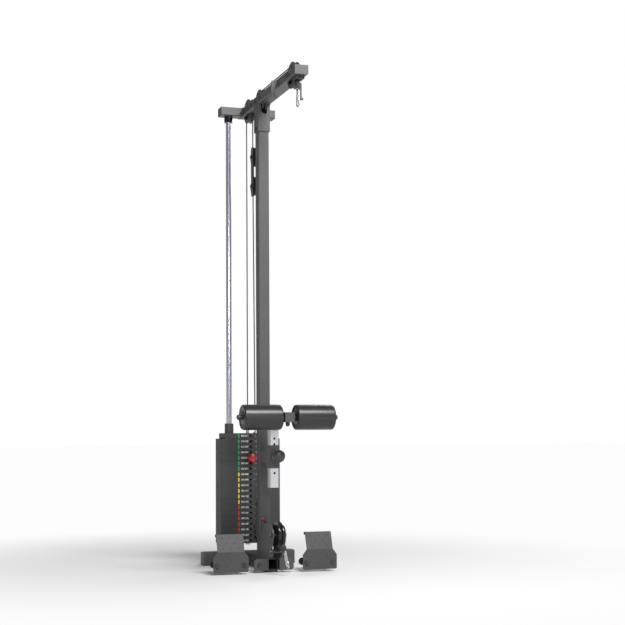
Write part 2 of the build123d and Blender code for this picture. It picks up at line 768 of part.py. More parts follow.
for side, name in ((-1, "foam_roller_left"), (1, "foam_roller_right")):
    with BuildPart() as roller:
        with BuildSketch(across(side * roller_inner_x, roller_y, roller_z)):
            Circle(roller_r)
            Circle(shaft_r + 0.3, mode=Mode.SUBTRACT)
        extrude(amount=side * roller_length)
        fillet(roller.edges().filter_by(GeomType.CIRCLE).filter_by(
            lambda e: e.radius > roller_r - 1), radius=roller_round)
    save(roller, name)

pin_barrel_length = 42
pin_knob_r = 28
pin_knob_length = 34
plunger_r = 6
plunger_gap = 0.3
barrel_r = 12
barrel_clearance = 2        # knob to barrel
knob_dome = 22
knob_skirt = 6
sleeve_front = post_y - leg_sleeve_size / 2
with BuildPart() as pop_pin_barrel:
    with BuildSketch(ahead(0, sleeve_front, leg_pin_z)):
        Circle(barrel_r)
        Circle(plunger_r + plunger_gap, mode=Mode.SUBTRACT)
    extrude(amount=pin_barrel_length)
    with BuildSketch(ahead(0, sleeve_front, leg_pin_z)):
        Circle(pin_bore_r)
        Circle(plunger_r + plunger_gap, mode=Mode.SUBTRACT)
    extrude(amount=-leg_sleeve_wall)
save(pop_pin_barrel, "pop_pin_barrel")

pin_knob_y = sleeve_front - pin_barrel_length - barrel_clearance
with BuildPart() as pop_pin:
    add(rod((0, sleeve_front + leg_sleeve_wall, leg_pin_z),
            (0, pin_knob_y - pin_knob_length / 2, leg_pin_z), plunger_r))
    with BuildSketch(ahead(0, pin_knob_y, leg_pin_z)):
        Circle(pin_knob_r)
    extrude(amount=pin_knob_length)
    fillet(edges().filter_by(GeomType.CIRCLE).filter_by(
        lambda e: e.radius > pin_knob_r - 1).group_by(Axis.Y)[0], radius=knob_dome)
    fillet(edges().filter_by(GeomType.CIRCLE).filter_by(
        lambda e: e.radius > pin_knob_r - 1).group_by(Axis.Y)[-1], radius=knob_skirt)
save(pop_pin, "pop_pin")

# ---- foot plates ---------------------------------------------------------------------------------
foot_face_y = tower_y - foot_plate_reach
with BuildPart() as foot_plates:
    for side in (-1, 1):
        with BuildSketch(ahead(side * foot_plate_x, foot_face_y + foot_plate_thickness, 0)):
            with BuildLine():
                half = foot_plate_width / 2
                neck = foot_plate_neck / 2
                Polyline(
                    (-half, foot_plate_z), (half, foot_plate_z), (half, foot_shoulder_z),
                    (neck, foot_bend_z), (-neck, foot_bend_z), (-half, foot_shoulder_z),
                    close=True,
                )
            make_face()
            fillet(vertices().group_by(Axis.Y)[0], radius=foot_corner)
            for shift in (-foot_bolt_pitch / 2, foot_bolt_pitch / 2):
                with Locations((shift, foot_bolt_z)):
                    Circle(rack_stud_r + neck_extra, mode=Mode.SUBTRACT)
        extrude(amount=foot_plate_thickness)
        with BuildSketch(across(side * foot_plate_x - foot_plate_neck / 2, 0, 0)):
            with BuildLine():
                back = foot_face_y + foot_plate_thickness
                Polyline(
                    (foot_face_y, foot_bend_z), (back, foot_bend_z),
                    (back + foot_lean, foot_top_z - foot_plate_thickness),
                    (back + foot_lean + foot_fold, foot_top_z - foot_plate_thickness),
                    (back + foot_lean + foot_fold, foot_top_z - foot_fold_drop),
                    (back + foot_lean + foot_fold + foot_plate_thickness,
                     foot_top_z - foot_fold_drop),
                    (back + foot_lean + foot_fold + foot_plate_thickness, foot_top_z),
                    (foot_face_y + foot_lean, foot_top_z),
                    close=True,
                )
            make_face()
        extrude(amount=foot_plate_neck)
save(foot_plates, "foot_plates")

# ---- hook ends -----------------------------------------------------------------------------
hook_bar_r = 3.6
hook_top_r = 9
hook_bottom_r = 13
hook_slack = 0.4
gate_r = 3.2
gate_gap_length = 0.8
knuckle_r = 3.6             # round end that the gate turns on
knuckle_half = 3.5
ring_r = 8
ring_bar_r = 2
ring_drop = 6               # ring's middle below the end of its stopper
ring_neck_r = 4
ring_neck_length = 12
hook_length = 80
stopper_length = 20
stopper_r = 12
stopper_gap = 1
stopper_round = 2
bumper_drop = 12
bumper_width = 41
bumper_length = 52
bumper_corner = 5
bumper_slot_length = 38
ball_r = 15.5
ball_reach = 68             # low pulley's axle to the ball


def hook_up(tilt):
    """Upward direction of a hook that leans to the right by tilt degrees."""
    return Vector(-sin(radians(tilt)), 0, cos(radians(tilt)))


def make_hook(name, eye, length, tilt):
    """Snap hook: a pear-shaped bar open towards the user, and the gate that closes it.

    eye is the middle of the ring that the hook hangs in, tilt its lean to the right.
    """
    reach = length - 2 * hook_bar_r
    top_centre = Vector(0, -hook_top_r)
    bottom_centre = Vector(0, hook_bottom_r - reach)
    flare = asin((hook_bottom_r - hook_top_r) / (top_centre - bottom_centre).length)
    left = Vector(-cos(flare), sin(flare))
    right = Vector(cos(flare), sin(flare))
    side = (bottom_centre + right * hook_bottom_r) - (top_centre + right * hook_top_r)
    opening_top = top_centre + right * hook_top_r + side * 0.15
    opening_bottom = bottom_centre + right * hook_bottom_r - side * 0.12
    up = hook_up(tilt)
    crest = Vector(*eye) + up * (ring_bar_r + hook_bar_r + hook_slack - ring_r)
    plane = Plane(origin=crest, x_dir=(0, -1, 0), z_dir=Vector(0, -1, 0).cross(up))
    with BuildPart() as bar:
        with BuildLine() as path:
            shoulders = [opening_top, top_centre + right * hook_top_r, Vector(0, 0),
                         top_centre + left * hook_top_r, bottom_centre + left * hook_bottom_r,
                         Vector(0, -reach), bottom_centre + right * hook_bottom_r,
                         opening_bottom]
            spots = [plane.from_local_coords(spot) for spot in shoulders]
            Line(spots[0], spots[1])
            ThreePointArc(*spots[1:4])
            Line(spots[3], spots[4])
            ThreePointArc(*spots[4:7])
            Line(spots[6], spots[7])
        route = path.wire()
        with BuildSketch(Plane(origin=route @ 0, z_dir=route % 0)):
            Circle(hook_bar_r)
        sweep(path=route)
    save(bar, name)
    gate_gap = side.normalized() * gate_gap_length
    gate_top = plane.from_local_coords(opening_top + gate_gap)
    pivot = opening_bottom - gate_gap - side.normalized() * knuckle_r
    gate_bottom = plane.from_local_coords(pivot)
    with BuildPart() as gate:
        add(rod(tuple(gate_top), tuple(gate_bottom), gate_r))
        with BuildSketch(plane.shift_origin(gate_bottom).offset(-knuckle_half)):
            Circle(knuckle_r)
        extrude(amount=2 * knuckle_half)
    save(gate, name + "_gate")


def ring(y, z):
    """Small welded ring that stands in the XZ plane, facing the user."""
    with BuildPart() as loop:
        with Locations(ahead(0, y, z)):
            Torus(ring_r, ring_bar_r)
    return loop.part


with BuildPart() as lat_stop_bumper:
    with BuildSketch(Plane.XY.offset(arm_bottom_z - bumper_drop)):
        with Locations((0, lat_cable_y - 5)):
            RectangleRounded(bumper_width, bumper_length, bumper_corner)
        with Locations((0, lat_cable_y + bumper_slot_length / 2 - 11)):
            Rectangle(pulley_width + 2 * side_gap, bumper_slot_length, mode=Mode.SUBTRACT)
    extrude(amount=bumper_drop)
save(lat_stop_bumper, "lat_stop_bumper")

rim_drop = sqrt(big_rim_r ** 2 - (big_cable_r - stopper_r) ** 2)
stopper_top_z = pulley_z - rim_drop - stopper_gap
lat_ring_z = stopper_top_z - stopper_length - ring_drop
with BuildPart() as lat_cable_stopper:
    with BuildSketch(Plane(origin=(0, lat_cable_y, stopper_top_z))):
        Circle(stopper_r)
    extrude(amount=-stopper_length)
    fillet(edges().filter_by(GeomType.CIRCLE), radius=stopper_round)
    add(ring(lat_cable_y, lat_ring_z))
save(lat_cable_stopper, "lat_cable_stopper")
make_hook("lat_hook", (0, lat_cable_y, lat_ring_z), hook_length, 0)

ball_y = low_pulley_y - ball_reach
low_hook_tilt = 11
low_ring_y = ball_y - ball_r - ring_neck_length + ring_bar_r
low_ring_z = low_cable_z - ring_r
with BuildPart() as low_ball_stop:
    with Locations((0, ball_y, low_cable_z)):
        Sphere(ball_r)
    add(rod((0, ball_y, low_cable_z), (0, low_ring_y - ring_bar_r - 1, low_cable_z), ring_neck_r))
    add(ring(low_ring_y, low_ring_z))
save(low_ball_stop, "low_ball_stop")
make_hook("low_hook", (0, low_ring_y, low_ring_z), hook_length, low_hook_tilt)

# ---- spare pin parked on the tower ---------------------------------------------------------
park_z = 219
park_knob_r = 10
park_knob_length = 18
spare_x = -13
spare_y = tower_front - 6
spare_head_r = 6
spare_head_length = 11
spare_shank_r = 4
spare_shank_length = 51
with BuildPart() as parked_pin:
    with BuildSketch(ahead(0, tower_front, park_z)):
        Circle(park_knob_r)
    extrude(amount=park_knob_length)
    fillet(edges().filter_by(GeomType.CIRCLE).group_by(Axis.Y)[0], radius=3)
    neck_z = park_z + 1
    add(rod((spare_x, spare_y, neck_z + spare_head_length), (spare_x, spare_y, neck_z), spare_head_r))
    add(rod((spare_x, spare_y, neck_z), (spare_x, spare_y, neck_z - spare_shank_length),
            spare_shank_r))
save(parked_pin, "parked_pin")

# ---- cables --------------------------------------------------------------------------------
cable_r = cable_d / 2
cable_top_z = pulley_z + big_cable_r
with BuildPart() as lat_cable_fixed:
    with BuildLine(Plane.YZ) as arm_path:
        CenterArc((front_pulley_y, pulley_z), big_cable_r, 180, -90)
        Line((front_pulley_y, cable_top_z), (mid_pulley_y, cable_top_z))
        CenterArc((mid_pulley_y, pulley_z), big_cable_r, 90, -90)
    with BuildSketch(Plane(origin=(0, lat_cable_y, pulley_z))):
        Circle(cable_r)
    sweep(path=arm_path.line)
    with BuildLine(Plane.YZ) as rear_path:
        CenterArc((rear_pulley_y, pulley_z), big_cable_r, 180, -180)
    with BuildSketch(Plane(origin=(0, rear_pulley_y - big_cable_r, pulley_z))):
        Circle(cable_r)
    sweep(path=rear_path.line)
save(lat_cable_fixed, "lat_cable_fixed")

with BuildPart() as lat_cable_drop:
    add(rod((0, lat_cable_y, stopper_top_z), (0, lat_cable_y, pulley_z), cable_r))
save(lat_cable_drop, "lat_cable_drop")

block_front_y = block_y - small_cable_r
block_rear_y = block_y + small_cable_r
run_gap = 0.15              # a leaning run to the turn it meets
with BuildPart() as block_upper_runs:
    add(rod((0, block_front_y, block_upper_z), (0, block_front_y, pulley_z), cable_r))
    add(rod((0, block_rear_y, block_upper_z), (0, block_rear_y, pulley_z), cable_r))
save(block_upper_runs, "block_upper_runs")

with BuildPart() as block_lower_runs:
    add(rod((0, block_rear_y, block_lower_z - run_gap),
            (0, -base_run_y, base_pulley_z + run_gap), cable_r))
    add(rod((0, block_front_y, block_lower_z - run_gap), (0, anchor_y, anchor_z + axle_r), cable_r))
save(block_lower_runs, "block_lower_runs")

with BuildPart() as block_cable_turns:
    for z, start, sweep_angle in ((block_upper_z, 180, 180), (block_lower_z, 180, -180)):
        with BuildLine(Plane.YZ) as turn:
            CenterArc((block_y, z), small_cable_r, start, sweep_angle)
        with BuildSketch(Plane(origin=(0, block_front_y, z))):
            Circle(cable_r)
        sweep(path=turn.line)
save(block_cable_turns, "block_cable_turns")

with BuildPart() as stack_cable_run:
    add(rod((0, 0, fitting_top_z), (0, 0, pulley_z), cable_r))
save(stack_cable_run, "stack_cable_run")

with BuildPart() as low_cable_fixed:
    with BuildLine(Plane.YZ) as low_path:
        CenterArc((base_pulley_y, base_pulley_z), small_cable_r, 0, -90)
        Line((base_pulley_y, low_cable_z), (ball_y + ball_r + 0.2, low_cable_z))
    with BuildSketch(Plane(origin=(0, -base_run_y, base_pulley_z))):
        Circle(cable_r)
    sweep(path=low_path.line)
save(low_cable_fixed, "low_cable_fixed")

# The pin's lanyard: from the head plate's front edge down to the knob.  Each point is
# (x, ahead of the plates' front face, above the top of the stack).
lanyard_steps = [
    (14, -4, 2), (14, 6, 7), (15, 15, -4), (16, 19, -26), (15, 21, -50), (11, 22, -72),
    (6, 23, -87), (3, 24, -93),
]
lanyard_points = [(x, stack_front - out, stack_top + up) for x, out, up in lanyard_steps]


def corner_radii(points):
    """Largest arc for each corner: 0.45 of its shorter run over the tangent of half the turn."""
    radii = []
    for before, at, after in zip(points, points[1:], points[2:]):
        run_in = Vector(*at) - Vector(*before)
        run_out = Vector(*after) - Vector(*at)
        turn = radians(run_in.get_angle(run_out))
        radii.append(0.45 * min(run_in.length, run_out.length) / tan(turn / 2))
    return radii


lanyard_radii = corner_radii(lanyard_points)
print("lanyard radii", [round(r, 1) for r in lanyard_radii])
with BuildPart() as selector_lanyard:
    with BuildLine() as lanyard_path:
        FilletPolyline(*lanyard_points, radius=lanyard_radii)
    lanyard_wire = lanyard_path.wire()
    with BuildSketch(Plane(origin=lanyard_wire @ 0, z_dir=lanyard_wire % 0)):
        Circle(lanyard_d / 2)
    sweep(path=lanyard_wire)
save(selector_lanyard, "selector_lanyard")
lanyard_fill = selector_lanyard.part.volume / (pi * lanyard_d ** 2 / 4 * lanyard_wire.length)
print("lanyard length", round(lanyard_wire.length, 1), "volume ratio", round(lanyard_fill, 4))
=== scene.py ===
# %% [markdown]
# # A pin-loaded lat pulldown machine
# This lesson dresses a finished CAD model: a tower with pulleys, a weight stack, hooks and
# a padded leg holder.  The CAD pieces keep their shape and get real finishes.  Pieces that
# CAD can't show well, such as cables that change length, foam, numerals and a tread
# pattern, are made here, and most of them ride on the same moving bodies.

# %% Load the frame
import json
import math
import random
import bmesh
import bpy
from mathutils import Matrix, Vector


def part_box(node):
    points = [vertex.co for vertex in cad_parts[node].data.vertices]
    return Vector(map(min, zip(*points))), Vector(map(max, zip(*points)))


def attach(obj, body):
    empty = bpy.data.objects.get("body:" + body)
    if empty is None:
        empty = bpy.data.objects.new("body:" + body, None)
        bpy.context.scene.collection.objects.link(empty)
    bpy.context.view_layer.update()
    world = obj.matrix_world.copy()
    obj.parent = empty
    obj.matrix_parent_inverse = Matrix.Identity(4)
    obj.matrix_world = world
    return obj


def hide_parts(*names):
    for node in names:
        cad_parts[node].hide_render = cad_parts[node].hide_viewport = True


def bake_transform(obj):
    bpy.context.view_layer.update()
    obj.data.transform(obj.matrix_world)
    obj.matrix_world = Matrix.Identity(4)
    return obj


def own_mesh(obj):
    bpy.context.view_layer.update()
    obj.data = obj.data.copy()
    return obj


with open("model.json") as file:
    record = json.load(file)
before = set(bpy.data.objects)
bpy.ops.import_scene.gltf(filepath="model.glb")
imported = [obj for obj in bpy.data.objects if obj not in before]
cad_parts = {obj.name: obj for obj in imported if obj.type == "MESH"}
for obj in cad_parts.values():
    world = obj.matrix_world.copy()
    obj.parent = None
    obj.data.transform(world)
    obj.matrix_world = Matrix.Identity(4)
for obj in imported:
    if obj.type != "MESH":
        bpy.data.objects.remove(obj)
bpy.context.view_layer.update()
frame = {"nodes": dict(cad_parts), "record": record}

scene = bpy.context.scene

# %% [markdown]
# ## The camera
# A long lens a little above knee height keeps the uprights nearly parallel.  The lens could
# be tilted to centre the tall machine, but a small shift does it without leaning the tower.

# %% Camera
camera_lens = bpy.data.cameras.new("studio_camera")
camera_lens.sensor_width = 36
camera_lens.lens = 72.9
camera_lens.shift_x = 0.0796
camera_lens.shift_y = 0.0217
camera_lens.clip_end = 200
camera = bpy.data.objects.new("studio_camera", camera_lens)
scene.collection.objects.link(camera)
camera.location = (-1.732, -5.668, 0.624)
camera.rotation_euler = (math.radians(90) + 0.0806, 0.0042, -0.3085)
scene.camera = camera
print("camera lens", camera_lens.lens)

# %% [markdown]
# ## Helpers for new pieces
# Each new piece starts as a bmesh, a mesh in memory that is easy to add rings and faces
# to.  One helper turns it into an object, smooths it and gives it its finish.


# %% A mesh becomes a piece
def finish_mesh(name, mesh_work, material, smooth=True):
    bmesh.ops.recalc_face_normals(mesh_work, faces=mesh_work.faces)
    mesh = bpy.data.meshes.new(name)
    mesh_work.to_mesh(mesh)
    mesh_work.free()
    for face in mesh.polygons:
        face.use_smooth = smooth
    mesh.materials.append(material)
    piece = bpy.data.objects.new(name, mesh)
    scene.collection.objects.link(piece)
    return piece


# %% A tube along a line of points
def add_tube(mesh_work, points, radius, sides=12, ripple=0.0, closed=False):
    """Rings of points along a line, each square to it.  ripple swells every second ring."""
    spots = [Vector(p) for p in points]
    count = len(spots)
    rings = []
    side_way = None
    for i, spot in enumerate(spots):
        before = spots[i - 1] if i or closed else spot
        after = spots[(i + 1) % count] if i < count - 1 or closed else spot
        along = (after - before).normalized()
        if side_way is None:
            side_way = along.orthogonal().normalized()
        side_way = (side_way - along * side_way.dot(along)).normalized()
        up = along.cross(side_way)
        r = radius * (1 + ripple * (i % 2))
        rings.append([mesh_work.verts.new(
            spot + r * (math.cos(a) * side_way + math.sin(a) * up))
            for a in (2 * math.pi * k / sides for k in range(sides))])
    pairs = list(zip(rings, rings[1:])) + ([(rings[-1], rings[0])] if closed else [])
    for ring, following in pairs:
        for k in range(sides):
            mesh_work.faces.new((ring[k], ring[(k + 1) % sides],
                                 following[(k + 1) % sides], following[k]))
    if not closed:
        mesh_work.faces.new(rings[0])
        mesh_work.faces.new(list(reversed(rings[-1])))


# %% A turned shape
def add_turned(mesh_work, profile, centre, axis, sides=64):
    """Sweeps (distance along the axis, radius) points round an axis through centre."""
    centre, axis = Vector(centre), Vector(axis).normalized()
    out = axis.orthogonal().normalized()
    up = axis.cross(out)
    rings = []
    for along, r in profile:
        rings.append([mesh_work.verts.new(
            centre + axis * along + r * (math.cos(a) * out + math.sin(a) * up))
            for a in (2 * math.pi * k / sides for k in range(sides))])
    for ring, following in zip(rings, rings[1:]):
        for k in range(sides):
            mesh_work.faces.new((ring[k], ring[(k + 1) % sides],
                                 following[(k + 1) % sides], following[k]))
    mesh_work.faces.new(rings[0])
    mesh_work.faces.new(list(reversed(rings[-1])))


print("helpers ready")

# %% [markdown]
# ## Shared surface effects
# Real finishes are never one flat colour.  Three effects come back in many of them: a fine
# grain, a slow change of tone from handling and dust, and edges that have lost a little
# paint.  Each is a node group, built once and placed in every material with its own values.


# %% Group scaffolding
def new_group(name, inputs, outputs):
    """A shader node group with named sockets, and its input and output nodes."""
    group = bpy.data.node_groups.new(name, "ShaderNodeTree")
    for label, kind, value in inputs:
        socket = group.interface.new_socket(name=label, in_out="INPUT", socket_type=kind)
        socket.default_value = value
    for label, kind in outputs:
        group.interface.new_socket(name=label, in_out="OUTPUT", socket_type=kind)
    return group, group.nodes.new("NodeGroupInput"), group.nodes.new("NodeGroupOutput")


def noise(nodes, detail=3.0, roughness=0.55):
    texture = nodes.new("ShaderNodeTexNoise")
    texture.inputs["Detail"].default_value = detail
    texture.inputs["Roughness"].default_value = roughness
    return texture


def maths(group, operation, a, b):
    """A Math node of the group; a and b are numbers or sockets."""
    node = group.nodes.new("ShaderNodeMath")
    node.operation = operation
    for socket, value in zip(node.inputs, (a, b)):
        if isinstance(value, (int, float)):
            socket.default_value = value
        else:
            group.links.new(value, socket)
    return node.outputs[0]


# %% Grain and tone
grain_group, group_in, group_out = new_group(
    "grain_and_tone",
    [("Grain Scale", "NodeSocketFloat", 900.0), ("Tone Scale", "NodeSocketFloat", 6.0),
     ("Stretch", "NodeSocketVector", (1.0, 1.0, 1.0))],
    [("Height", "NodeSocketFloat"), ("Tone", "NodeSocketFloat")])
place = grain_group.nodes.new("ShaderNodeTexCoord")
stretched = grain_group.nodes.new("ShaderNodeVectorMath")
stretched.operation = "MULTIPLY"
grain_group.links.new(place.outputs["Object"], stretched.inputs[0])
grain_group.links.new(group_in.outputs["Stretch"], stretched.inputs[1])
for scale_name, output_name, detail in (
        ("Grain Scale", "Height", 2.0), ("Tone Scale", "Tone", 5.0)):
    texture = noise(grain_group.nodes, detail)
    grain_group.links.new(stretched.outputs[0], texture.inputs["Vector"])
    grain_group.links.new(group_in.outputs[scale_name], texture.inputs["Scale"])
    grain_group.links.new(texture.outputs["Fac"], group_out.inputs[output_name])

# %% Worn edges
wear_group, group_in, group_out = new_group(
    "worn_edges",
    [("Radius", "NodeSocketFloat", 0.0015), ("Amount", "NodeSocketFloat", 0.5)],
    [("Mask", "NodeSocketFloat"), ("Rounded Normal", "NodeSocketVector")])
rounded = wear_group.nodes.new("ShaderNodeBevel")
rounded.samples = 4
surface = wear_group.nodes.new("ShaderNodeNewGeometry")
agreement = wear_group.nodes.new("ShaderNodeVectorMath")
agreement.operation = "DOT_PRODUCT"
wear_group.links.new(group_in.outputs["Radius"], rounded.inputs["Radius"])
wear_group.links.new(rounded.outputs["Normal"], agreement.inputs[0])
wear_group.links.new(surface.outputs["Normal"], agreement.inputs[1])
bend = maths(wear_group, "SUBTRACT", 1.0, agreement.outputs["Value"])
patches = noise(wear_group.nodes, 4.0)
patches.inputs["Scale"].default_value = 60.0
place = wear_group.nodes.new("ShaderNodeTexCoord")
wear_group.links.new(place.outputs["Object"], patches.inputs["Vector"])
broken = maths(wear_group, "MULTIPLY", bend, patches.outputs["Fac"])
scaled = maths(wear_group, "MULTIPLY", broken, group_in.outputs["Amount"])
lifted = maths(wear_group, "MULTIPLY", scaled, 3.0)
capped = maths(wear_group, "MINIMUM", lifted, 1.0)
wear_group.links.new(capped, group_out.inputs["Mask"])
wear_group.links.new(rounded.outputs["Normal"], group_out.inputs["Rounded Normal"])
print("groups", grain_group.name, wear_group.name)

# %% [markdown]
# ## Finishes
# The machine has about a dozen finishes: satin powder coat, cast black nylon, chrome,
# bright zinc, rubber, vinyl and ink.  One helper wires the shared groups to a Principled
# shader, and each finish gives it its own colours, gloss, grain and wear.


# %% A finish from the shared groups
def make_finish(name, dark, light, gloss, grain=(900.0, 0.1), tone_scale=6.0,
                stretch=(1.0, 1.0, 1.0), metallic=0.0, wear=0.0, worn=(0.35, 0.35, 0.36),
                edge=0.001, coat=0.0):
    """gloss is (lowest, highest) roughness; grain is (scale, bump strength)."""
    material = bpy.data.materials.new(name)
    material.use_nodes = True
    tree = material.node_tree
    shader = tree.nodes["Principled BSDF"]
    shader.inputs["Metallic"].default_value = metallic
    shader.inputs["Coat Weight"].default_value = coat
    shader.inputs["Coat Roughness"].default_value = 0.12
    effects = tree.nodes.new("ShaderNodeGroup")
    effects.node_tree = grain_group
    effects.inputs["Grain Scale"].default_value = grain[0]
    effects.inputs["Tone Scale"].default_value = tone_scale
    effects.inputs["Stretch"].default_value = stretch
    edges = tree.nodes.new("ShaderNodeGroup")
    edges.node_tree = wear_group
    edges.inputs["Radius"].default_value = edge
    edges.inputs["Amount"].default_value = wear
    tones = tree.nodes.new("ShaderNodeValToRGB")
    tones.color_ramp.elements[0].position = 0.3
    tones.color_ramp.elements[1].position = 0.7
    tones.color_ramp.elements[0].color = (*dark, 1)
    tones.color_ramp.elements[1].color = (*light, 1)
    tree.links.new(effects.outputs["Tone"], tones.inputs["Fac"])
    scuffed = tree.nodes.new("ShaderNodeMix")
    scuffed.data_type = "RGBA"
    scuffed.inputs["B"].default_value = (*worn, 1)
    tree.links.new(edges.outputs["Mask"], scuffed.inputs["Factor"])
    tree.links.new(tones.outputs["Color"], scuffed.inputs["A"])
    tree.links.new(scuffed.outputs["Result"], shader.inputs["Base Color"])
    shine = tree.nodes.new("ShaderNodeMapRange")
    shine.inputs["From Min"].default_value = 0.3
    shine.inputs["From Max"].default_value = 0.7
    shine.inputs["To Min"].default_value = gloss[0]
    shine.inputs["To Max"].default_value = gloss[1]
    tree.links.new(effects.outputs["Tone"], shine.inputs["Value"])
    tree.links.new(shine.outputs["Result"], shader.inputs["Roughness"])
    bump = tree.nodes.new("ShaderNodeBump")
    bump.inputs["Strength"].default_value = grain[1]
    bump.inputs["Distance"].default_value = 0.0004
    tree.links.new(effects.outputs["Height"], bump.inputs["Height"])
    if edge:
        tree.links.new(edges.outputs["Rounded Normal"], bump.inputs["Normal"])
    tree.links.new(bump.outputs["Normal"], shader.inputs["Normal"])
    return material


# %% Paint, iron and tread
powder_coat = make_finish("charcoal_powder_coat", (0.056, 0.056, 0.058), (0.066, 0.066, 0.068),
                          (0.42, 0.5), grain=(1400.0, 0.12), wear=0.25, worn=(0.2, 0.2, 0.2))
stack_iron = make_finish("coated_stack_iron", (0.032, 0.032, 0.032), (0.041, 0.041, 0.041),
                         (0.5, 0.6), grain=(700.0, 0.2), wear=0.5, worn=(0.16, 0.16, 0.16))
tread_plate = make_finish("grey_tread_plate", (0.044, 0.044, 0.045), (0.054, 0.054, 0.055),
                          (0.42, 0.52), grain=(900.0, 0.15), tone_scale=14.0, wear=0.5)
dark_steel = make_finish("blackened_steel", (0.030, 0.030, 0.032), (0.045, 0.045, 0.047),
                         (0.3, 0.42), grain=(1100.0, 0.1), wear=0.5, edge=0.0006)

# %% Bright metals
chrome = make_finish("polished_chrome", (0.66, 0.67, 0.78), (0.70, 0.71, 0.82), (0.21, 0.25),
                     grain=(300.0, 0.0), stretch=(1.0, 1.0, 0.1), metallic=1.0, edge=0.0)
collar_chrome = make_finish("black_chrome", (0.05, 0.05, 0.055), (0.08, 0.08, 0.085),
                            (0.14, 0.22), grain=(500.0, 0.02), metallic=1.0, edge=0.0006)
bright_zinc = make_finish("bright_zinc", (0.50, 0.51, 0.53), (0.60, 0.61, 0.63), (0.28, 0.4),
                          grain=(260.0, 0.06), tone_scale=30.0, stretch=(1.0, 1.0, 0.25),
                          metallic=1.0, edge=0.0008)

# %% Plastics and rubbers
pulley_nylon = make_finish("glossy_pulley_nylon", (0.012, 0.012, 0.013), (0.02, 0.02, 0.021),
                           (0.16, 0.26), grain=(500.0, 0.04), coat=0.3, edge=0.0008)
black_plastic = make_finish("moulded_black_plastic", (0.035, 0.035, 0.036),
                            (0.05, 0.05, 0.051), (0.35, 0.45), grain=(1500.0, 0.15))
cap_plastic = make_finish("grey_tube_cap", (0.055, 0.055, 0.057), (0.070, 0.070, 0.072),
                          (0.4, 0.5), grain=(1500.0, 0.15))
black_rubber = make_finish("black_rubber", (0.022, 0.022, 0.022), (0.035, 0.035, 0.035),
                           (0.5, 0.65), grain=(800.0, 0.25))
red_plastic = make_finish("red_knob_plastic", (0.55, 0.012, 0.012), (0.68, 0.02, 0.02),
                          (0.22, 0.32), grain=(900.0, 0.05), coat=0.3)
cable_jacket = make_finish("nylon_cable_jacket", (0.03, 0.03, 0.032), (0.06, 0.06, 0.063),
                           (0.25, 0.35), grain=(420.0, 0.3), tone_scale=40.0,
                           stretch=(1.0, 1.0, 0.6), edge=0.0003)
lanyard_braid = make_finish("lanyard_braid", (0.03, 0.03, 0.03), (0.07, 0.07, 0.07),
                            (0.6, 0.75), grain=(1600.0, 0.9), tone_scale=500.0, edge=0.0003)
roller_vinyl = make_finish("black_roller_vinyl", (0.015, 0.015, 0.016), (0.019, 0.019, 0.020),
                           (0.3, 0.36), grain=(650.0, 0.05), tone_scale=9.0)

# %% Inks
white_ink = make_finish("white_ink", (0.78, 0.78, 0.78), (0.86, 0.86, 0.86), (0.45, 0.55))
green_ink = make_finish("green_ink", (0.02, 0.33, 0.10), (0.03, 0.4, 0.13), (0.45, 0.55))
yellow_ink = make_finish("yellow_ink", (0.85, 0.72, 0.05), (0.92, 0.8, 0.08), (0.45, 0.55))
red_ink = make_finish("red_ink", (0.62, 0.03, 0.025), (0.7, 0.05, 0.035), (0.45, 0.55))
print("finishes", len(bpy.data.materials))

# %% [markdown]
# ## Finishes on the CAD pieces
# A CAD piece keeps its mesh, so only its material slots change.  The record groups the
# pieces by material slot, and a few pieces depart from their group.

# %% Dress the nodes
slot_finish = {
    "powder_coat": powder_coat, "black_plastic": black_plastic, "black_rubber": black_rubber,
    "black_fastener": dark_steel, "chrome_rod": chrome, "stack_iron": stack_iron,
    "bush_nylon": black_plastic, "zinc_steel": bright_zinc, "dark_steel": dark_steel,
    "tread_plate": tread_plate, "pulley_nylon": pulley_nylon, "cable_jacket": cable_jacket,
    "lanyard_cord": lanyard_braid, "knob_red": red_plastic, "roller_foam": roller_vinyl,
}
special_finish = {
    "rod_collars": collar_chrome, "tube_end_caps": cap_plastic, "block_cheeks": dark_steel,
}
for part in frame["record"]["subparts"]:
    node = frame["nodes"][part["node"]]
    finish = special_finish.get(part["node"], slot_finish[part["material_slot"]])
    if not node.material_slots:
        node.data.materials.append(finish)
    for material_slot in node.material_slots:
        material_slot.material = finish

# %% [markdown]
# ## The pin's lanyard
# A thin cord keeps the selector pin from getting lost.  It leaves the head plate's front
# edge and hangs down to the knob.  A NURBS spline through the same listed points as
# the CAD cord gives one smooth line, and the cord is a tube that follows it.

# %% Lanyard
lanyard_spots = [
    (0.014, -0.044, 0.604), (0.014, -0.054, 0.609), (0.015, -0.063, 0.598),
    (0.016, -0.067, 0.576), (0.015, -0.069, 0.552), (0.011, -0.070, 0.530),
    (0.006, -0.071, 0.515), (0.003, -0.072, 0.509),
]


def spline_line(spots):
    """Points along a NURBS spline that has these control points."""
    curve = bpy.data.curves.new("line", "CURVE")
    curve.dimensions = "3D"
    curve.resolution_u = 12
    spline = curve.splines.new("NURBS")
    spline.points.add(len(spots) - 1)
    for point, spot in zip(spline.points, spots):
        point.co = (*spot, 1)
    spline.order_u = 3
    spline.use_endpoint_u = True
    holder = bpy.data.objects.new("line", curve)
    scene.collection.objects.link(holder)
    bpy.context.view_layer.update()
    mesh = bpy.data.meshes.new_from_object(holder.evaluated_get(
        bpy.context.evaluated_depsgraph_get()))
    line = [vertex.co.copy() for vertex in mesh.vertices]
    bpy.data.objects.remove(holder)
    return line


lanyard_line = spline_line(lanyard_spots)
work = bmesh.new()
add_tube(work, lanyard_line, 0.0015, sides=10)
lanyard = finish_mesh("pin_lanyard", work, lanyard_braid)
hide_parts("selector_lanyard")
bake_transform(lanyard)
